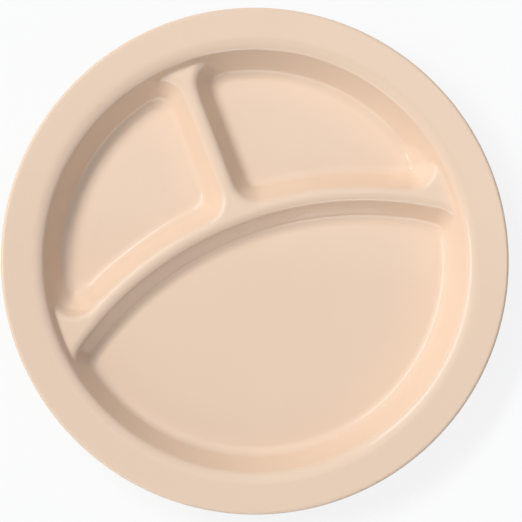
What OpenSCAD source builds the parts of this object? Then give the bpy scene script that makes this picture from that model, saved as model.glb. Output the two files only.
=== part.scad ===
// Round plate in three compartments, moulded in one piece with an even wall.
// The origin is under the middle of the plate, on the surface that it rests on.
// The straight divider runs along +Y, away from the curved one, and +Z points up.

/* [Plate] */
// Outside diameter of the rim
plate_d = 260; // [240:1:280]
// Thickness of the floor, the walls and the rim
wall_t = 3; // [2.5:0.1:3.2]
// Height of the foot band under each compartment
foot_h = 1; // [0.6:0.1:1.6]
// Rise of the rim towards its outer edge, in degrees
rim_rise = 2; // [0:0.5:3]

/* [Well] */
// Radius of the flat floor of the whole well
floor_r = 94.3; // [92:0.1:96]
// Steepness of the outer wall and the divider walls, in degrees from level
wall_a = 60; // [56:1:64]
// Level run of the straight stretch of the outer wall
wall_run = 6.7; // [5.5:0.1:7.5]
// Radius of the hollow between floor and wall
floor_fillet = 6.8; // [6:0.1:7.5]
// Radius of the round between wall and rim
rim_fillet = 7.4; // [6.8:0.1:8]

/* [Dividers] */
// Radius of the round along the top of a divider
crest_r = 5.8; // [5.4:0.1:6.2]
// Width of the flat along the middle of that top
crest_flat = 0.4; // [0.2:0.1:0.8]
// Level run of the straight stretch of a divider wall
divider_run = 3.4; // [3:0.1:3.8]
// Plan radius of a compartment's floor at its corners
corner_r = 3.6; // [3:0.1:5]
// Radius of the curved divider's middle line, whose centre lies on the straight one's
curve_r = 184.2; // [180:0.1:190]
// How far in front of the axis that centre lies
curve_y = 159.6; // [156:0.1:163]

/* [Foot] */
// Width of a foot band
foot_w = 2.2; // [1.6:0.1:2.4]
// How far a foot band stands in from the edge of the floor
foot_in = 0.6; // [0.2:0.1:0.8]

/* [Hidden] */
tan_plastic = [0.92, 0.81, 0.71];
$fn = 96;
arc_steps = 6;
clear = 6;
lap = 2;
relief = 0.1;
far = plate_d;

floor_z = foot_h + wall_t;
divider_h = (floor_fillet + crest_r) * (1 - cos(wall_a)) + divider_run * tan(wall_a);
half_base = (floor_fillet + crest_r) * sin(wall_a) + divider_run + crest_flat / 2;
well_h = (floor_fillet + rim_fillet) * (1 - cos(wall_a)) + wall_run * tan(wall_a);
rim_in = floor_r + (floor_fillet + rim_fillet) * sin(wall_a) + wall_run;
core_r = floor_r - corner_r;
crest_x = corner_r + half_base;
curve_c = [0, -curve_y];

function azimuth(p) = atan2(p.y, p.x);
function turn_to(a, b) = b > a ? b - a : b - a + 360;

// Where the line at x, along the straight divider, meets the back of a circle
function on_line(x, c, r) = [x, c.y + sqrt(r * r - pow(x - c.x, 2))];

// Where the circle of radius r about the curved divider's centre meets the core circle
function on_core(r, side) =
    let (d = norm(curve_c),
         u = curve_c / d,
         s = (core_r * core_r - r * r + d * d) / (2 * d))
    u * s + side * [-u.y, u.x] * sqrt(core_r * core_r - s * s);

// Corner centres of the compartments: every outline is the same distance outside them
outer_curve = curve_r + crest_x;
inner_curve = curve_r - crest_x;
left_line = -crest_x;
right_line = crest_x;
left_corners = [on_line(left_line, [0, 0], core_r),
                on_line(left_line, curve_c, outer_curve),
                on_core(outer_curve, -1)];
right_corners = [on_core(outer_curve, 1),
                 on_line(right_line, curve_c, outer_curve),
                 on_line(right_line, [0, 0], core_r)];
large_corners = [on_core(inner_curve, -1), on_core(inner_curve, 1)];

// Points of a round of radius r about c, from slope a to slope b; up is -1 on a hollow
function round_points(c, r, a, b, up) =
    [for (i = [0:arc_steps])
        let (s = a + (b - a) * i / arc_steps)
        c + r * up * [-sin(s), cos(s)]];

// Side of a compartment, thick outside its inner face, as distance from the core and height
function pocket_side(thick) =
    concat(round_points([corner_r, floor_fillet], floor_fillet + thick, 0, wall_a, -1),
           round_points([crest_x - crest_flat / 2, divider_h - crest_r],
                        crest_r - thick, wall_a, 0, 1));

// Side of the whole well, up to where the rim starts
function well_side(thick) =
    concat(round_points([floor_r, floor_fillet], floor_fillet + thick, 0, wall_a, -1),
           round_points([rim_in, well_h - rim_fillet], rim_fillet - thick, wall_a, rim_rise, 1));

// One side profile closed back to the distance x, up to the height top
module side_face(side, x, top) {
    last = side[len(side) - 1];
    polygon(concat([[x, side[0].y]], side, [[last.x, top], [x, top]]));
}

// Corner of a compartment, a touch larger so that its surface crosses its neighbours'
module corner(p, side, top) {
    translate(p) rotate_extrude()
        side_face([for (q = side) [q.x + relief, q.y]], 0, top);
}

module straight_side(a, b, side, top, facing) {
    translate(a) rotate([90, 0, 0]) linear_extrude(a.y - b.y)
        mirror([facing > 0 ? 0 : 1, 0]) side_face(side, -lap, top);
}

module curved_side(a, b, r, side, top, facing) {
    start = azimuth(a - curve_c);
    translate(curve_c) rotate_extrude(start = start, angle = turn_to(start, azimuth(b - curve_c)))
        translate([r, 0]) mirror([facing > 0 ? 0 : 1, 0]) side_face(side, -lap, top);
}

// Stretch of a compartment that runs out to the radius reach between two corners
module outer_side(a, b, reach, low, top) {
    start = azimuth(a);
    rotate_extrude(start = start, angle = turn_to(start, azimuth(b)))
        translate([core_r - lap, low]) square([reach - core_r + lap, top - low]);
}

module core(low, top) {
    translate([0, 0, low]) linear_extrude(top - low) intersection() {
        circle(core_r);
        children();
    }
}

module left_compartment(side, reach, top) {
    c = left_corners;
    low = side[0].y;
    for (p = c) corner(p, side, top);
    straight_side(c[0], c[1], side, top, 1);
    curved_side(c[1], c[2], outer_curve, side, top, -1);
    outer_side(c[0], c[2], reach, low, top);
    core(low, top) difference() {
        translate([left_line - far, -far / 2]) square([far, 2 * far]);
        translate(curve_c) circle(outer_curve);
    }
}

module right_compartment(side, reach, top) {
    c = right_corners;
    low = side[0].y;
    for (p = c) corner(p, side, top);
    straight_side(c[2], c[1], side, top, -1);
    curved_side(c[0], c[1], outer_curve, side, top, -1);
    outer_side(c[0], c[2], reach, low, top);
    core(low, top) difference() {
        translate([right_line, -far / 2]) square([far, 2 * far]);
        translate(curve_c) circle(outer_curve);
    }
}

module large_compartment(side, reach, top) {
    c = large_corners;
    low = side[0].y;
    for (p = c) corner(p, side, top);
    curved_side(c[1], c[0], inner_curve, side, top, 1);
    outer_side(c[0], c[1], reach, low, top);
    core(low, top) translate(curve_c) circle(inner_curve);
}

module compartments(side, reach, top) {
    left_compartment(side, reach, top);
    right_compartment(side, reach, top);
    large_compartment(side, reach, top);
}

// Everything above the dividers, and the compartments between them
module open_space(thick) {
    top = divider_h - thick;
    translate([0, 0, top]) cylinder(r = far, h = well_h + clear);
    compartments(pocket_side(thick), far, top + 1);
}

// The plate as turned, with its well still filled up to the rim
module turned_blank() {
    outer = well_side(wall_t);
    edge = wall_t / 2;
    edge_c = [plate_d / 2 - edge,
              well_h + (plate_d / 2 - edge - rim_in) * tan(rim_rise) - edge / cos(rim_rise)];
    rotate_extrude() polygon(concat(
        [[0, outer[0].y]],
        outer,
        [for (s = [-90:15:90]) edge_c + edge * [cos(s + rim_rise), sin(s + rim_rise)]],
        [[0, well_h - rim_in * tan(rim_rise)]]));
}

module well() {
    rotate_extrude() side_face(well_side(0), 0, well_h + clear);
}

// Low bands that follow the floor's edge under each compartment, sunk a little into the floor
module foot_bands() {
    outside = corner_r - foot_in;
    inside = outside - foot_w;
    top = -wall_t / 2;
    difference() {
        compartments([[outside, -floor_z]], core_r + outside, top);
        compartments([[inside, -floor_z - 1]], core_r + inside, top + 1);
    }
}

module plate() {
    color(tan_plastic) translate([0, 0, floor_z]) {
        difference() {
            intersection() {
                turned_blank();
                open_space(wall_t);
            }
            intersection() {
                well();
                open_space(0);
            }
        }
        foot_bands();
    }
}

plate();
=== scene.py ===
"""A round plate in three compartments, pressed in one piece from a glossy sand-coloured plastic.

Each side of the plate is laid out flat in plan, made finer where the dividers run, and raised to its
moulded height. Lengths in the plate's classes are millimetres, and the finished mesh is in metres.
"""

import logging
import math
from bisect import bisect_right
from dataclasses import dataclass, field
from enum import Enum

import bmesh
import bpy
from mathutils import Matrix, Vector


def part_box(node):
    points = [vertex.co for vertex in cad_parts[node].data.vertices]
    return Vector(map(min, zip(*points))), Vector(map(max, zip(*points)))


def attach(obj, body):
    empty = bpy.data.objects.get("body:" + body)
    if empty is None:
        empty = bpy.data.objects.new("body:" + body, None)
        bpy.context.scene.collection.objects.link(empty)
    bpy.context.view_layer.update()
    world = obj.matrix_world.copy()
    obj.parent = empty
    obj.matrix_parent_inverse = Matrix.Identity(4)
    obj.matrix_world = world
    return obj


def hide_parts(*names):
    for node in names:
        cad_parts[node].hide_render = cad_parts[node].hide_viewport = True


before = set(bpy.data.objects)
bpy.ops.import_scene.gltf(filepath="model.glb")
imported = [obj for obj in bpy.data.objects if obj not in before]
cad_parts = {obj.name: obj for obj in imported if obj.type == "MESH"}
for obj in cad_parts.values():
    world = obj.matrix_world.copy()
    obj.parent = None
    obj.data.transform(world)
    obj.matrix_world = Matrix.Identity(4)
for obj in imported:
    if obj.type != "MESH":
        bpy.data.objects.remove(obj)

LOG = logging.getLogger("plate")
MM = 0.001
FULL_TURN = 2 * math.pi
WELD = 0.001


class Side(Enum):
    """The two sides of the moulding."""

    FACE = "face"
    UNDER = "under"


class Hand(Enum):
    """The two small compartments, left and right of the straight divider."""

    LEFT = -1
    RIGHT = 1


class Bound(Enum):
    """What a compartment's core ends at."""

    RIM = "rim"
    BOW = "bow"
    LINE = "line"


class Lamp(Enum):
    """The lamps of the studio, named for what each one does."""

    KEY = "key"
    GLINT = "glint"
    EDGE = "edge"
    WASH = "wash"
    LOW = "low"
    KICK = "kick"


@dataclass(frozen=True)
class Station:
    """A point of a moulded section: how far out it is, how high, and its slope in radians."""

    out: float
    up: float
    slope: float


class Section:
    """A moulded section that starts on level floor and rises through hollows, straights and rounds."""

    def __init__(self, stations: list[Station]) -> None:
        """Keeps the stations in order from the floor outwards."""
        self.stations = stations
        self.outs = [station.out for station in stations]

    def bend(self, radius: float, slope: float, step: float = math.radians(1.5)) -> "Section":
        """Turns the section to a new slope on an arc.

        Args:
            radius: the arc's radius.
            slope: the slope at the arc's end, in radians.
            step: the turn from one station to the next.

        Returns:
            The section with the arc added.
        """
        start = self.end
        count = max(1, math.ceil(abs(slope - start.slope) / step))
        added = []
        for i in range(1, count + 1):
            now = start.slope + (slope - start.slope) * i / count
            out = start.out + radius * abs(math.sin(now) - math.sin(start.slope))
            up = start.up + radius * abs(math.cos(now) - math.cos(start.slope))
            added.append(Station(out, up, now))
        return Section(self.stations + added)

    def run(self, length: float) -> "Section":
        """Takes the section straight on at the slope reached.

        Args:
            length: how far, measured level.

        Returns:
            The section with the straight stretch added.
        """
        last = self.end
        rise = length * math.tan(last.slope)
        return Section(self.stations + [Station(last.out + length, last.up + rise, last.slope)])

    def behind(self, thick: float) -> "Section":
        """Returns the section's other side, behind a wall of even thickness.

        Args:
            thick: the thickness.

        Returns:
            The other side's section.
        """
        return Section([
            Station(s.out + thick * math.sin(s.slope), s.up - thick * math.cos(s.slope), s.slope)
            for s in self.stations
        ])

    def at(self, out: float) -> float:
        """Returns the section's height, held level before its first station and after its last.

        Args:
            out: how far out to read it.

        Returns:
            The height.
        """
        i = bisect_right(self.outs, out)
        if i == 0:
            return self.start.up
        if i == len(self.stations):
            return self.end.up
        a, b = self.stations[i - 1], self.stations[i]
        share = (out - a.out) / (b.out - a.out)
        return a.up + (b.up - a.up) * share

    @property
    def start(self) -> Station:
        """The first station."""
        return self.stations[0]

    @property
    def end(self) -> Station:
        """The last station."""
        return self.stations[-1]


@dataclass(frozen=True)
class Wall:
    """How the walls stand, with their slopes in radians.

    Every wall starts in a wide sweep and a closer hollow, goes straight over a level run, and turns over
    a tight shoulder into a wide round, the brow under the rim or the crest of a divider. The floors'
    corners have the plan radius corner_r. Further up they would be rounder, and tighter is how much
    of that they lose on the way to the dividers' tops.
    """

    thick: float = 3.0
    slope: float = math.radians(60.0)
    sweep: float = 9.0
    sweep_slope: float = math.radians(25.0)
    hollow: float = 5.5
    floor_r: float = 94.5
    well_run: float = 7.3
    shoulder: float = 4.0
    shoulder_slope: float = math.radians(25.0)
    brow: float = 13.5
    rim_slope: float = math.radians(3.0)
    divider_slope: float = math.radians(53.0)
    divider_run: float = 6.0
    crest_shoulder: float = 3.7
    crest_slope: float = math.radians(24.0)
    crest: float = 6.3
    corner_r: float = 5.4
    tighter: float = 5.0

    def foot(self, start: float, slope: float, run: float) -> Section:
        """Returns the section of a wall from the floor up to the end of its straight stretch.

        Args:
            start: how far out the floor's edge is.
            slope: the slope of the straight stretch, in radians.
            run: its level run.

        Returns:
            The section.
        """
        floor = Section([Station(start, 0.0, 0.0)])
        return floor.bend(self.sweep, self.sweep_slope).bend(self.hollow, slope).run(run)

    def well(self, reach: float) -> Section:
        """Returns the section of the well's wall and the rim.

        Args:
            reach: the radius that the rim runs out to.

        Returns:
            The section.
        """
        wall = self.foot(self.floor_r, self.slope, self.well_run)
        rim = wall.bend(self.shoulder, self.shoulder_slope).bend(self.brow, self.rim_slope)
        return rim.run(reach - rim.end.out)

    def divider(self) -> Section:
        """Returns the section of a divider's side, from a compartment's floor to the ridge."""
        wall = self.foot(self.corner_r, self.divider_slope, self.divider_run)
        return wall.bend(self.crest_shoulder, self.crest_slope).bend(self.crest, 0.0)


@dataclass(frozen=True)
class Spot:
    """A point in plan."""

    x: float
    y: float

    def away(self, x: float, y: float) -> float:
        """Returns the distance to the point (x, y)."""
        return math.hypot(x - self.x, y - self.y)

    def azimuth(self, x: float, y: float) -> float:
        """Returns the azimuth of the point (x, y) seen from here, anticlockwise from +X."""
        return math.atan2(y - self.y, x - self.x)


AXIS = Spot(0.0, 0.0)


def arc(centre: Spot, radius: float, start: float, turn: float, steps: int) -> list[Vector]:
    """Returns the points of an arc in plan, from its start up to but not with its end.

    Args:
        centre: the arc's centre.
        radius: its radius.
        start: the azimuth of its first point.
        turn: how far round it goes, anticlockwise where positive.
        steps: how many points it has.

    Returns:
        The points.
    """
    turns = [start + turn * i / steps for i in range(steps)]
    return [Vector((centre.x + radius * math.cos(t), centre.y + radius * math.sin(t), 0)) for t in turns]


@dataclass
class Pocket:
    """A compartment in plan, whose outlines all lie the same distance outside a core.

    The core lies within core_r of the axis. It ends at the circle of radius bow_r about bow_centre, and
    is inside that circle where inward is 1, and outside it where inward is -1. A core that also ends at
    the line x = line_x is right of it where facing is 1, and left of it where facing is -1. The corners
    go anticlockwise, and each bound runs from its corner to the next one.
    """

    core_r: float
    bow_centre: Spot
    bow_r: float
    inward: int
    corners: list[Spot]
    bounds: list[Bound]
    line_x: float = 0.0
    facing: int = 0

    def __post_init__(self) -> None:
        """Notes the azimuths between which the core's curved sides run."""
        first, last = self.corners[0], self.corners[1]
        self.rim_start = AXIS.azimuth(first.x, first.y)
        self.rim_turn = (AXIS.azimuth(last.x, last.y) - self.rim_start) % FULL_TURN
        i = self.bounds.index(Bound.BOW)
        ends = [self.corners[i], self.corners[(i + 1) % len(self.corners)]]
        azimuths = [self.bow_centre.azimuth(end.x, end.y) for end in ends]
        self.bow_start = azimuths[0]
        self.bow_turn = azimuths[1] - azimuths[0]
        self.bow_low, self.bow_high = min(azimuths), max(azimuths)
        heights = [corner.y for corner in self.corners if corner.x == self.line_x]
        self.line_low, self.line_high = min(heights, default=0.0), max(heights, default=0.0)

    def distance(self, x: float, y: float) -> float:
        """Returns how far a point is outside the core.

        Beyond the core circle, and between the corners on it, a compartment stays open, because the
        well's own wall bounds it there.

        Args:
            x: the point's place in plan.
            y: the point's place in plan.

        Returns:
            The distance, 0 inside the core and where it stays open.
        """
        past_bow = self.inward * (self.bow_centre.away(x, y) - self.bow_r)
        past_line = self.facing * (self.line_x - x)
        if math.hypot(x, y) > self.core_r:
            if (AXIS.azimuth(x, y) - self.rim_start) % FULL_TURN <= self.rim_turn:
                return 0.0
        elif past_bow <= 0 and past_line <= 0:
            return 0.0
        found = min(corner.away(x, y) for corner in self.corners)
        if past_bow > 0 and self.bow_low <= self.bow_centre.azimuth(x, y) <= self.bow_high:
            found = min(found, past_bow)
        if past_line > 0 and self.line_low <= y <= self.line_high:
            found = min(found, past_line)
        return found

    def outward(self, bound: Bound, corner: Spot) -> float:
        """Returns the azimuth in which a bound faces, away from the core.

        Args:
            bound: the bound.
            corner: one of the corners that it ends at, where it is looked at.

        Returns:
            The azimuth.
        """
        if bound is Bound.RIM:
            return AXIS.azimuth(corner.x, corner.y)
        if bound is Bound.LINE:
            return math.pi if self.facing > 0 else 0.0
        turned = 0.0 if self.inward > 0 else math.pi
        return self.bow_centre.azimuth(corner.x, corner.y) + turned

    def outline(self, grow: float, corner_steps: int = 10, side_steps: int = 60) -> list[Vector]:
        """Returns points round the core, a distance outside it.

        Args:
            grow: the distance.
            corner_steps: the points round a corner.
            side_steps: the points along a curved side.

        Returns:
            The points in anticlockwise order, as many for each distance.
        """
        points = []
        for i, corner in enumerate(self.corners):
            start = self.outward(self.bounds[i - 1], corner)
            turn = (self.outward(self.bounds[i], corner) - start) % FULL_TURN
            points += arc(corner, grow, start, turn, corner_steps)
            if self.bounds[i] is Bound.RIM:
                points += arc(AXIS, self.core_r + grow, self.rim_start, self.rim_turn, side_steps)
            elif self.bounds[i] is Bound.BOW:
                radius = self.bow_r + self.inward * grow
                points += arc(self.bow_centre, radius, self.bow_start, self.bow_turn, side_steps)
            else:
                points += arc(corner, grow, start + turn, 0.0, 1)
        return points


@dataclass
class Plan:
    """Where the compartments lie between the dividers.

    Every core lies within core_r of the axis, and ridge away from the middle line of each divider. The
    straight divider's middle line is x = 0, and the curved one's is an arc of radius curve_r.
    """

    core_r: float
    ridge: float
    curve_r: float = 184.2
    curve_y: float = 159.6

    def __post_init__(self) -> None:
        """Works out the compartments' cores."""
        self.centre = Spot(0.0, -self.curve_y)
        behind = self.curve_r + self.ridge
        before = self.curve_r - self.ridge
        ends = [self.on_core(before, hand) for hand in Hand]
        front = Pocket(self.core_r, self.centre, before, 1, ends, [Bound.RIM, Bound.BOW])
        self.pockets = [self.side_pocket(behind, hand) for hand in Hand] + [front]

    def side_pocket(self, behind: float, hand: Hand) -> Pocket:
        """Returns a small compartment, behind the curved divider.

        Args:
            behind: the radius of the circle that its core ends at.
            hand: which of the two it is.

        Returns:
            The compartment.
        """
        x = hand.value * self.ridge
        top = Spot(x, math.sqrt(self.core_r**2 - x**2))
        inner = Spot(x, self.centre.y + math.sqrt(behind**2 - (x - self.centre.x) ** 2))
        outer = self.on_core(behind, hand)
        corners, bounds = [outer, top, inner], [Bound.RIM, Bound.LINE, Bound.BOW]
        if hand is Hand.LEFT:
            corners, bounds = [top, outer, inner], [Bound.RIM, Bound.BOW, Bound.LINE]
        return Pocket(self.core_r, self.centre, behind, -1, corners, bounds, x, hand.value)

    def on_core(self, radius: float, hand: Hand) -> Spot:
        """Returns where a circle about the curved divider's centre meets the core circle.

        Args:
            radius: the circle's radius.
            hand: which of the two crossings.

        Returns:
            The crossing.
        """
        apart = math.hypot(self.centre.x, self.centre.y)
        ux, uy = self.centre.x / apart, self.centre.y / apart
        along = (self.core_r**2 - radius**2 + apart**2) / (2 * apart)
        across = hand.value * math.sqrt(self.core_r**2 - along**2)
        return Spot(ux * along - uy * across, uy * along + ux * across)

    def from_cores(self, x: float, y: float) -> float:
        """Returns the distance of (x, y) from the nearest compartment's core."""
        return min(pocket.distance(x, y) for pocket in self.pockets)


@dataclass(frozen=True)
class Grain:
    """A noise over a surface, and the span of its values that a finish uses."""

    waves: float
    detail: float
    low: float = 0.0
    high: float = 1.0


class Paint:
    """A material's node tree, with short ways to add the nodes that the finishes use."""

    def __init__(self, name: str) -> None:
        """Makes the material and finds the nodes that it starts with.

        Args:
            name: the material's name.
        """
        self.material = bpy.data.materials.new(name)
        self.material.use_nodes = True
        self.nodes = self.material.node_tree.nodes
        self.links = self.material.node_tree.links
        self.shader = self.nodes["Principled BSDF"]

    def add(self, kind: str, **settings: object) -> bpy.types.Node:
        """Adds a node.

        Args:
            kind: the node's type.
            settings: the properties that it is given.

        Returns:
            The node.
        """
        node = self.nodes.new(kind)
        for key, value in settings.items():
            setattr(node, key, value)
        return node

    def feed(self, socket: bpy.types.NodeSocket, value: object) -> None:
        """Links another node's socket into a socket, or sets it to a plain value.

        Args:
            socket: the socket to feed.
            value: another node's output, or a number, a colour or a vector.
        """
        if isinstance(value, bpy.types.NodeSocket):
            self.links.new(value, socket)
        else:
            socket.default_value = value

    def noise(self, place: bpy.types.NodeSocket, grain: Grain) -> bpy.types.NodeSocket:
        """Returns a noise over the surface.

        Args:
            place: the coordinates that it follows.
            grain: its waves per metre, and how many finer waves are laid over it.

        Returns:
            The noise, about 0.5 on average.
        """
        node = self.add("ShaderNodeTexNoise")
        self.feed(node.inputs["Vector"], place)
        self.feed(node.inputs["Scale"], grain.waves)
        self.feed(node.inputs["Detail"], grain.detail)
        return node.outputs["Fac"]

    def grained(self, place: bpy.types.NodeSocket, grain: Grain, first: float,
                last: float) -> bpy.types.NodeSocket:
        """Returns a value that wanders over the surface.

        Args:
            place: the coordinates that it follows.
            grain: the noise that it comes from.
            first: the value where the noise is at the low end of its span.
            last: the value at the high end.

        Returns:
            The value.
        """
        return self.span(self.noise(place, grain), grain.low, grain.high, first, last)

    def span(self, value: bpy.types.NodeSocket, low: float, high: float, first: float,
             last: float) -> bpy.types.NodeSocket:
        """Returns a value carried from one range to another and held at its ends.

        Args:
            value: the value.
            low: what becomes first.
            high: what becomes last.
            first: the result at low.
            last: the result at high.

        Returns:
            The result.
        """
        node = self.add("ShaderNodeMapRange")
        for name, amount in (("Value", value), ("From Min", low), ("From Max", high)):
            self.feed(node.inputs[name], amount)
        self.feed(node.inputs["To Min"], first)
        self.feed(node.inputs["To Max"], last)
        return node.outputs["Result"]

    def combine(self, operation: str, first: object, second: object) -> bpy.types.NodeSocket:
        """Puts two values together.

        Args:
            operation: the Math node's operation.
            first: a socket or a number.
            second: a socket or a number.

        Returns:
            The result.
        """
        node = self.add("ShaderNodeMath", operation=operation)
        self.feed(node.inputs[0], first)
        self.feed(node.inputs[1], second)
        return node.outputs[0]

    def blend(self, share: bpy.types.NodeSocket, first: object, second: object) -> bpy.types.NodeSocket:
        """Mixes two colours.

        Args:
            share: how much of the second colour there is.
            first: a socket or a colour.
            second: a socket or a colour.

        Returns:
            The mixed colour.
        """
        node = self.add("ShaderNodeMix", data_type="RGBA")
        colours = [socket for socket in node.inputs if socket.type == "RGBA"]
        self.feed(node.inputs["Factor"], share)
        for socket, colour in zip(colours, (first, second)):
            self.feed(socket, (*colour, 1) if isinstance(colour, tuple) else colour)
        return next(socket for socket in node.outputs if socket.type == "RGBA")


@dataclass(frozen=True)
class MouldedPlastic:
    """A glossy moulded plastic, faintly clouded by its flow, a little dull where it rubs on tables.

    The roughness goes from gloss to haze in clouds, and up to scuff where it is rubbed. Heights are in
    metres: the scuffs fade out scuff_height above the table, and the surface ripples by ripple.
    """

    colour: tuple[float, float, float] = (0.842, 0.625, 0.459)
    cloud_colour: tuple[float, float, float] = (0.836, 0.619, 0.454)
    scuff_colour: tuple[float, float, float] = (0.86, 0.68, 0.55)
    gloss_roughness: float = 0.07
    haze_roughness: float = 0.1
    scuff_roughness: float = 0.42
    scuff_height: float = 0.0006
    scuff_least: float = 0.35
    specular: float = 0.5
    ripple: float = 0.0000015
    clouds: Grain = Grain(22, 3, 0.35, 0.65)
    haze: Grain = Grain(60, 4, 0.35, 0.7)
    ripples: Grain = Grain(320, 1)
    scratches: Grain = Grain(900, 4, 0.4, 0.6)

    def material(self, name: str) -> bpy.types.Material:
        """Returns the finish as a material.

        Args:
            name: the material's name.

        Returns:
            The material.
        """
        paint = Paint(name)
        place = paint.add("ShaderNodeTexCoord").outputs["Object"]
        clouds = paint.grained(place, self.clouds, 0, 1)
        scuffs = self.scuffs(paint, place)
        body = paint.blend(clouds, self.colour, self.cloud_colour)
        paint.feed(paint.shader.inputs["Base Color"], paint.blend(scuffs, body, self.scuff_colour))
        sheen = paint.grained(place, self.haze, self.gloss_roughness, self.haze_roughness)
        worn = paint.span(scuffs, 0, 1, 0, self.scuff_roughness - self.haze_roughness)
        paint.feed(paint.shader.inputs["Roughness"], paint.combine("ADD", sheen, worn))
        bump = paint.add("ShaderNodeBump")
        paint.feed(bump.inputs["Height"], paint.noise(place, self.ripples))
        paint.feed(bump.inputs["Distance"], self.ripple)
        paint.feed(paint.shader.inputs["Normal"], bump.outputs["Normal"])
        paint.feed(paint.shader.inputs["Specular IOR Level"], self.specular)
        return paint.material

    def scuffs(self, paint: Paint, place: bpy.types.NodeSocket) -> bpy.types.NodeSocket:
        """Returns where the foot bands are rubbed dull, in short scratches.

        Args:
            paint: the material's nodes.
            place: the object's coordinates.

        Returns:
            The share of wear, 0 on the rest of the plate.
        """
        split = paint.add("ShaderNodeSeparateXYZ")
        paint.feed(split.inputs[0], place)
        low = paint.span(split.outputs["Z"], 0, self.scuff_height, 1, 0)
        scratches = paint.grained(place, self.scratches, self.scuff_least, 1)
        return paint.combine("MULTIPLY", low, scratches)


@dataclass(frozen=True)
class Meshing:
    """How finely the plate is meshed, with lengths in millimetres and turns in radians.

    The middle grid has square cells. It is laid out wider than its radius by the factor spread, and cut
    round. Seam is the gap between it and the first ring, which triangles fill, and clear is how far
    that ring is outside the compartments' cores. The rings are at most wall_ring apart on the walls
    and rim_ring on the rim, with one at each further turn of bend. About the dividers, from a margin
    inside the floors' edges, edges longer than fine by the factor slack are halved, up to halvings
    times. The underside's cells and edges are longer by the factor under. A bevelled foot edge gets
    foot_steps faces, and the shading breaks at edges that turn by more than sharp.
    """

    cell: float = 2.2
    spread: float = 1.3
    seam: float = 1.0
    clear: float = 0.4
    wall_ring: float = 1.0
    rim_ring: float = 5.0
    bend: float = math.radians(5.9)
    turns: int = 400
    fine: float = 0.55
    slack: float = 1.4
    halvings: int = 3
    margin: float = 0.6
    under: int = 2
    edge_steps: int = 12
    foot_steps: int = 3
    sharp: float = math.radians(35.0)


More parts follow.
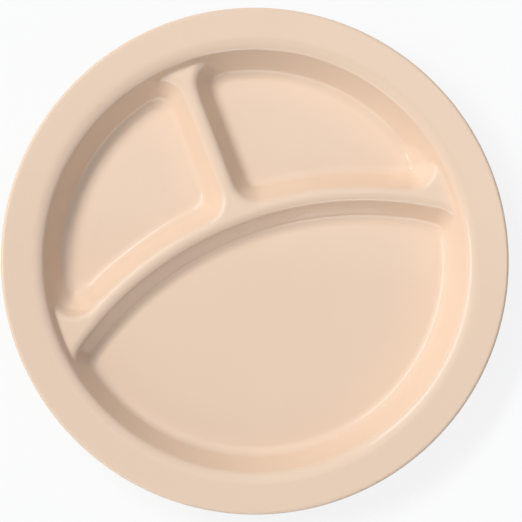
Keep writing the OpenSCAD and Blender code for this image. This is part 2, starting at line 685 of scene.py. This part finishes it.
@dataclass
class Plate:
    """The plate: a face and an underside an even wall apart, a rolled edge and three foot bands.

    The foot bands reach foot below the floors' underside, are foot_w wide and keep foot_in inside the
    floors' edges. Their lower edges, which turn by more than foot_turn, get rounds of foot_round.
    Where a divider runs into the well's wall, a hollow of the size crease joins the two. It starts
    where the divider has risen by the share crease_from, and is whole from crease_full upwards.
    """

    width: float
    foot: float = 1.0
    foot_w: float = 2.2
    foot_in: float = 0.6
    foot_round: float = 0.5
    foot_turn: float = 1.0
    crease: float = 0.4
    crease_from: float = 0.2
    crease_full: float = 0.45
    wall: Wall = field(default_factory=Wall)
    mesh: Meshing = field(default_factory=Meshing)
    finish: MouldedPlastic = field(default_factory=MouldedPlastic)

    def __post_init__(self) -> None:
        """Works out the sections and the plan."""
        wall = self.wall
        self.edge_r = wall.thick / 2
        self.edge_out = self.width / 2 - self.edge_r
        well = wall.well(self.edge_out - self.edge_r * math.sin(wall.rim_slope))
        divider = wall.divider()
        self.wells = {Side.FACE: well, Side.UNDER: well.behind(wall.thick)}
        self.dividers = {Side.FACE: divider, Side.UNDER: divider.behind(wall.thick)}
        self.plan = Plan(wall.floor_r - wall.corner_r, divider.end.out)
        self.crests = Plan(self.plan.core_r + wall.tighter, self.plan.ridge - wall.tighter)
        self.floor_z = self.foot + wall.thick

    def out(self, x: float, y: float) -> float:
        """Returns how far out a point is on a divider's side, counted from the compartments' cores.

        A compartment's corners get tighter towards the dividers' tops. The distance past the core
        circle counts too, which takes the dividers' sides round its outer corners without a step.

        Args:
            x: the point's place in plan.
            y: the point's place in plan.

        Returns:
            The distance, from 0 on a core to the plan's ridge in the middle of a divider.
        """
        past = math.hypot(x, y) - self.plan.core_r
        low = max(self.plan.from_cores(x, y), past)
        if low <= self.wall.corner_r:
            return low
        high = max(self.crests.from_cores(x, y) + self.wall.tighter, past)
        share = (low - self.wall.corner_r) / (self.plan.ridge - self.wall.corner_r)
        return low + (high - low) * min(1.0, share)

    def height(self, x: float, y: float, side: Side) -> float:
        """Returns the height of one side of the moulding, above the floors' face.

        Args:
            x: the place in plan.
            y: the place in plan.
            side: the side of the moulding.

        Returns:
            The height.
        """
        well = self.wells[side].at(math.hypot(x, y))
        divider = self.dividers[side]
        ridge = divider.at(self.out(x, y))
        risen = (ridge - divider.start.up) / (divider.end.up - divider.start.up)
        share = (risen - self.crease_from) / (self.crease_full - self.crease_from)
        blend = self.crease * min(1.0, max(0.0, share))
        overlap = max(0.0, blend - abs(well - ridge))
        return max(well, ridge) + (overlap**2 / (4 * blend) if overlap > 0 else 0.0)

    def ring_radii(self, side: Side, start: float) -> list[float]:
        """Returns the radii of the rings from start to the rim's edge, close where the wall bends.

        Args:
            side: the side of the moulding.
            start: the radius of the first ring.

        Returns:
            The radii in rising order.
        """
        radii = [start]
        kept = self.wells[side].start
        for station in self.wells[side].stations:
            bent = abs(station.slope - kept.slope) > self.mesh.bend
            near = 0 < station.out - kept.out < self.mesh.rim_ring
            if near and not bent and station is not self.wells[side].end:
                continue
            gap = station.out - radii[-1]
            steep = station.slope > self.wall.rim_slope
            parts = math.ceil(gap / (self.mesh.wall_ring if steep else self.mesh.rim_ring))
            radii += [station.out - gap * (parts - i) / parts for i in range(1, parts + 1)]
            kept = station
        return radii

    def flat_side(self, side: Side) -> bmesh.types.BMesh:
        """Lays one side of the plate out flat: a bowed grid in the middle, with rings around it.

        Args:
            side: the side of the moulding.

        Returns:
            The flat mesh, finer where the dividers run.
        """
        coarse = 1 if side is Side.FACE else self.mesh.under
        inner = self.plan.core_r + self.mesh.clear
        skin = bmesh.new()
        self.add_turned(skin, [Vector((radius, 0, 0)) for radius in self.ring_radii(side, inner)])
        self.add_grid(skin, inner - self.mesh.seam, self.mesh.cell * coarse)
        gap = [e for e in skin.edges if e.is_boundary and self.reach(e) < inner + WELD]
        bmesh.ops.triangle_fill(skin, use_beauty=True, edges=gap, normal=(0, 0, 1))
        self.refine(skin, self.mesh.fine * coarse)
        return skin

    @staticmethod
    def reach(edge: bmesh.types.BMEdge) -> float:
        """Returns the larger distance of an edge's two ends from the axis."""
        return max(math.hypot(vert.co.x, vert.co.y) for vert in edge.verts)

    def add_grid(self, skin: bmesh.types.BMesh, radius: float, cell: float) -> None:
        """Adds a round grid whose rows bow with the curved divider, its columns along the straight one.

        Args:
            skin: the mesh to add to.
            radius: the grid's radius.
            cell: the size of its cells.
        """
        plan = self.plan
        half_count = math.ceil(self.mesh.spread * radius / cell)
        made = bmesh.ops.create_grid(
            skin, x_segments=2 * half_count, y_segments=2 * half_count, size=half_count * cell,
        )
        shift = (plan.curve_r - plan.curve_y) % cell - plan.curve_r
        for vert in made["verts"]:
            vert.co.y += math.sqrt(plan.curve_r**2 - vert.co.x**2) + shift
        far = [v for v in made["verts"] if math.hypot(v.co.x, v.co.y) > radius]
        bmesh.ops.delete(skin, geom=far, context="VERTS")
        lone = [v for v in skin.verts if len(v.link_faces) < 2]
        bmesh.ops.delete(skin, geom=lone, context="VERTS")

    def add_turned(self, body: bmesh.types.BMesh, places: list[Vector]) -> None:
        """Adds a surface of revolution, spun by itself because a spin slows down in a large mesh.

        Args:
            body: the mesh to add to.
            places: the profile's points, in order.
        """
        turned = bmesh.new()
        row = [turned.verts.new(place) for place in places]
        edges = [turned.edges.new(pair) for pair in zip(row, row[1:])]
        bmesh.ops.spin(
            turned, geom=row + edges, cent=(0, 0, 0), axis=(0, 0, 1), angle=FULL_TURN,
            steps=self.mesh.turns, use_merge=True,
        )
        add_mesh(body, turned)

    def refine(self, skin: bmesh.types.BMesh, fine: float) -> None:
        """Halves the edges about the dividers until none is much longer than fine.

        Args:
            skin: the flat mesh.
            fine: the length to come down to.
        """
        foot = self.wall.corner_r - self.mesh.margin
        reach = self.wall.floor_r + self.wall.sweep + self.wall.well_run
        for _ in range(self.mesh.halvings):
            long = []
            for edge in skin.edges:
                middle = (edge.verts[0].co + edge.verts[1].co) / 2
                short = edge.calc_length() < fine * self.mesh.slack
                if short or math.hypot(middle.x, middle.y) > reach:
                    continue
                if self.plan.from_cores(middle.x, middle.y) > foot:
                    long.append(edge)
            bmesh.ops.subdivide_edges(skin, edges=long, cuts=1, use_grid_fill=True)

    def raised_side(self, side: Side) -> bmesh.types.BMesh:
        """Raises one side of the plate to its moulded height.

        Args:
            side: the side of the moulding.

        Returns:
            The side's mesh.
        """
        skin = self.flat_side(side)
        for vert in skin.verts:
            vert.co.z = self.height(vert.co.x, vert.co.y, side)
        return skin

    def add_edge(self, body: bmesh.types.BMesh) -> None:
        """Adds the rim's rolled edge, a half round spun about the axis.

        Args:
            body: the mesh to add to.
        """
        slope = self.wall.rim_slope
        up = self.wells[Side.FACE].end.up - self.edge_r * math.cos(slope)
        places = []
        for i in range(self.mesh.edge_steps + 1):
            turn = math.pi * (0.5 - i / self.mesh.edge_steps) + slope
            out = self.edge_out + self.edge_r * math.cos(turn)
            places.append(Vector((out, 0, up + self.edge_r * math.sin(turn))))
        self.add_turned(body, places)

    def moulding(self) -> bmesh.types.BMesh:
        """Joins the face, the underside and the rolled edge.

        Returns:
            One closed mesh.
        """
        body = bmesh.new()
        for side in Side:
            add_mesh(body, self.raised_side(side))
        self.add_edge(body)
        bmesh.ops.remove_doubles(body, verts=body.verts[:], dist=WELD)
        LOG.info("moulding: %d open edges", sum(not edge.is_manifold for edge in body.edges))
        bmesh.ops.recalc_face_normals(body, faces=body.faces[:])
        return body

    def foot_bands(self) -> bmesh.types.BMesh:
        """Makes the bands that follow each compartment's floor, sunk half a wall into it.

        Returns:
            The bands' mesh, closed round each compartment.
        """
        bands = bmesh.new()
        outside = self.wall.corner_r - self.foot_in
        for pocket in self.plan.pockets:
            loops = []
            for grow in (outside, outside - self.foot_w):
                ring = [bands.verts.new(place) for place in pocket.outline(grow)]
                loops += [bands.edges.new((ring[i - 1], ring[i])) for i in range(len(ring))]
            top = bmesh.ops.bridge_loops(bands, edges=loops)["faces"]
            made = bmesh.ops.extrude_face_region(bands, geom=top, use_keep_orig=True)["geom"]
            low = [v for v in made if isinstance(v, bmesh.types.BMVert)]
            drop = self.foot + self.wall.thick / 2
            bmesh.ops.translate(bands, verts=low, vec=(0, 0, -drop))
            rims = [e for e in bands.edges
                    if e.calc_face_angle(0) > self.foot_turn and e.verts[0] in low]
            bmesh.ops.bevel(
                bands, geom=rims, offset=self.foot_round, affect="EDGES",
                segments=self.mesh.foot_steps, profile=0.5, material=-1,
            )
        bmesh.ops.translate(bands, verts=bands.verts[:], vec=(0, 0, -self.wall.thick / 2))
        bmesh.ops.recalc_face_normals(bands, faces=bands.faces[:])
        return bands

    def build(self, name: str) -> bpy.types.Object:
        """Joins the moulding and its foot bands into one piece.

        Args:
            name: the piece's name.

        Returns:
            The piece, at the origin and in metres.
        """
        piece = placed(name, self.moulding())
        bands = placed("foot_bands", self.foot_bands())
        union = piece.modifiers.new("union", "BOOLEAN")
        union.operation = "UNION"
        union.solver = "MANIFOLD"
        union.object = bands
        whole = bpy.data.meshes.new_from_object(piece.evaluated_get(bpy.context.evaluated_depsgraph_get()))
        piece.modifiers.clear()
        bpy.data.objects.remove(bands)
        body = bmesh.new()
        body.from_mesh(whole)
        LOG.info("union: %d open edges", sum(not edge.is_manifold for edge in body.edges))
        bmesh.ops.translate(body, verts=body.verts[:], vec=(0, 0, self.floor_z))
        bmesh.ops.scale(body, verts=body.verts[:], vec=(MM, MM, MM))
        for face in body.faces:
            face.smooth = True
        for edge in body.edges:
            edge.smooth = edge.calc_face_angle(0) < self.mesh.sharp
        body.to_mesh(piece.data)
        body.free()
        return piece

    def dress(self, piece: bpy.types.Object) -> None:
        """Gives the piece its finish."""
        piece.data.materials.append(self.finish.material("moulded_plastic"))


def add_mesh(body: bmesh.types.BMesh, other: bmesh.types.BMesh) -> None:
    """Adds one mesh to another.

    Args:
        body: the mesh to add to.
        other: the mesh to add, which is freed.
    """
    mesh = bpy.data.meshes.new("part")
    other.to_mesh(mesh)
    other.free()
    body.from_mesh(mesh)
    bpy.data.meshes.remove(mesh)


def placed(name: str, body: bmesh.types.BMesh) -> bpy.types.Object:
    """Puts a mesh in the scene as an object at the origin.

    Args:
        name: the object's name.
        body: the mesh, which is freed.

    Returns:
        The object.
    """
    mesh = bpy.data.meshes.new(name)
    body.to_mesh(mesh)
    body.free()
    made = bpy.data.objects.new(name, mesh)
    bpy.context.collection.objects.link(made)
    return made


@dataclass(frozen=True)
class Light:
    """An area lamp as the plate sees it.

    The azimuth is the picture's, in degrees from the right, anticlockwise, and the zenith is the angle
    from straight up. Across and tall are half the angles that the lamp spans. The distance is in
    metres, and the radiance is how bright the lamp looks, against 1 for plain white.
    """

    lamp: Lamp
    azimuth: float
    zenith: float
    across: float
    tall: float
    away: float
    radiance: float
    diffuse: bool = True
    glossy: bool = True


@dataclass
class Studio:
    """The pale floor, the lamps, the world and the camera, in metres and radians.

    Lean is how far the plate is turned anticlockwise in the picture. Seen from the plate, the camera is
    at distance, lift above level, and stand anticlockwise from the picture's right. The picture spans
    view_width at the plate, and is aimed aim_right and aim_up beside its target.
    """

    floor_half: float = 3.0
    floor_tone: float = 0.8
    floor_roughness: float = 0.9
    floor_glow: float = 0.85
    fill: tuple[float, float, float] = (0.14, 0.165, 0.2)
    lights: tuple[Light, ...] = (
        Light(Lamp.KEY, 152, 42.5, across=20, tall=6, away=12.0, radiance=17.2, glossy=False),
        Light(Lamp.GLINT, 150.5, 37, across=21, tall=7, away=9.0, radiance=2.85, diffuse=False),
        Light(Lamp.EDGE, 300, 78, across=36, tall=5, away=4.0, radiance=2.9, diffuse=False),
        Light(Lamp.WASH, 80, 25, across=30, tall=20, away=1.2, radiance=0.7),
        Light(Lamp.LOW, 150, 76, across=30, tall=8, away=6.0, radiance=0.35),
        Light(Lamp.KICK, 255, 65, across=30, tall=14, away=3.0, radiance=1.5),
    )
    lean: float = math.radians(20.9)
    stand: float = math.radians(-112.0)
    lift: float = math.radians(85.5)
    distance: float = 1.8
    view_width: float = 0.2668
    aim_right: float = 0.0029
    aim_up: float = -0.0007

    def floor(self) -> bpy.types.Object:
        """Lays the floor that the plate stands on, white to the eye and pale to the light.

        Returns:
            The floor.
        """
        body = bmesh.new()
        bmesh.ops.create_grid(body, x_segments=1, y_segments=1, size=self.floor_half)
        floor = placed("floor", body)
        paint = Paint("floor")
        paint.feed(paint.shader.inputs["Base Color"], (*[self.floor_tone] * 3, 1))
        paint.feed(paint.shader.inputs["Roughness"], self.floor_roughness)
        glow = paint.add("ShaderNodeEmission")
        mix = paint.add("ShaderNodeMixShader")
        seen = self.seen(paint.nodes, paint.links)
        paint.feed(mix.inputs["Fac"], paint.combine("MULTIPLY", seen, self.floor_glow))
        paint.feed(mix.inputs[1], paint.shader.outputs["BSDF"])
        paint.feed(mix.inputs[2], glow.outputs["Emission"])
        paint.feed(paint.nodes["Material Output"].inputs["Surface"], mix.outputs["Shader"])
        floor.data.materials.append(paint.material)
        return floor

    @staticmethod
    def seen(nodes: bpy.types.Nodes, links: bpy.types.NodeLinks) -> bpy.types.NodeSocket:
        """Returns 1 for what is seen by the camera, in a reflection or through glass, and 0 for light.

        Args:
            nodes: the nodes of a material or of the world.
            links: their links.

        Returns:
            The value.
        """
        path = nodes.new("ShaderNodeLightPath")
        found = path.outputs["Is Camera Ray"]
        for name in ("Is Glossy Ray", "Is Transmission Ray"):
            either = nodes.new("ShaderNodeMath")
            either.operation = "MAXIMUM"
            links.new(found, either.inputs[0])
            links.new(path.outputs[name], either.inputs[1])
            found = either.outputs[0]
        return found

    def lamp(self, light: Light) -> None:
        """Hangs an area lamp that looks at the plate.

        Args:
            light: where the lamp is, how large it is and how bright.
        """
        data = bpy.data.lights.new(light.lamp.value, "AREA")
        data.shape = "RECTANGLE"
        halves = (light.across, light.tall)
        data.size, data.size_y = (2 * light.away * math.tan(math.radians(half)) for half in halves)
        data.energy = math.pi * data.size * data.size_y * light.radiance
        made = bpy.data.objects.new(light.lamp.value, data)
        bpy.context.collection.objects.link(made)
        turn = math.radians(light.azimuth) - self.lean
        tip = math.radians(light.zenith)
        back = Vector((math.cos(turn) * math.sin(tip), math.sin(turn) * math.sin(tip), math.cos(tip)))
        made.location = back * light.away
        made.rotation_mode = "QUATERNION"
        made.rotation_quaternion = back.to_track_quat("Z", "Y")
        made.visible_camera = False
        made.visible_diffuse = light.diffuse
        made.visible_glossy = light.glossy

    def world(self) -> None:
        """Fills the shadows with even light from the world, which is seen white."""
        made = bpy.data.worlds.new("studio")
        made.use_nodes = True
        nodes, links = made.node_tree.nodes, made.node_tree.links
        mix = nodes.new("ShaderNodeMix")
        mix.data_type = "RGBA"
        lit, seen = (socket for socket in mix.inputs if socket.type == "RGBA")
        lit.default_value = (*self.fill, 1)
        seen.default_value = (1, 1, 1, 1)
        links.new(self.seen(nodes, links), mix.inputs["Factor"])
        mixed = next(socket for socket in mix.outputs if socket.type == "RGBA")
        links.new(mixed, nodes["Background"].inputs["Color"])
        bpy.context.scene.world = made

    def camera(self, target: Vector) -> bpy.types.Object:
        """Stands the camera over the plate, as far and as turned as in the picture.

        Args:
            target: the point that it looks at.

        Returns:
            The camera.
        """
        data = bpy.data.cameras.new("camera")
        data.lens = data.sensor_width * self.distance / self.view_width
        made = bpy.data.objects.new("camera", data)
        bpy.context.collection.objects.link(made)
        turn = self.stand - self.lean
        back = Vector((
            math.cos(turn) * math.cos(self.lift),
            math.sin(turn) * math.cos(self.lift),
            math.sin(self.lift),
        ))
        top = Vector((math.sin(self.lean), math.cos(self.lean), 0))
        right = top.cross(back).normalized()
        over = back.cross(right)
        turned = Matrix((right, over, back)).transposed().to_4x4()
        aim = target + right * self.aim_right + over * self.aim_up
        made.matrix_world = Matrix.Translation(aim + back * self.distance) @ turned
        return made


def main() -> None:
    """Builds the plate and the studio in order and reports each piece."""
    logging.basicConfig(level=logging.INFO, format="%(message)s")
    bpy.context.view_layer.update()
    low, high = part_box("plate")
    plate = Plate(width=(high.x - low.x) / MM)
    piece = plate.build("divided_plate")
    plate.dress(piece)
    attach(piece, "root")
    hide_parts("plate")
    LOG.info("%s: %d faces", piece.name, len(piece.data.polygons))
    studio = Studio()
    studio.floor()
    studio.world()
    for light in studio.lights:
        studio.lamp(light)
    scene = bpy.context.scene
    scene.camera = studio.camera(Vector((0, 0, high.z)))
    scene.view_settings.view_transform = "Standard"


if __name__ == "__main__":
    main()
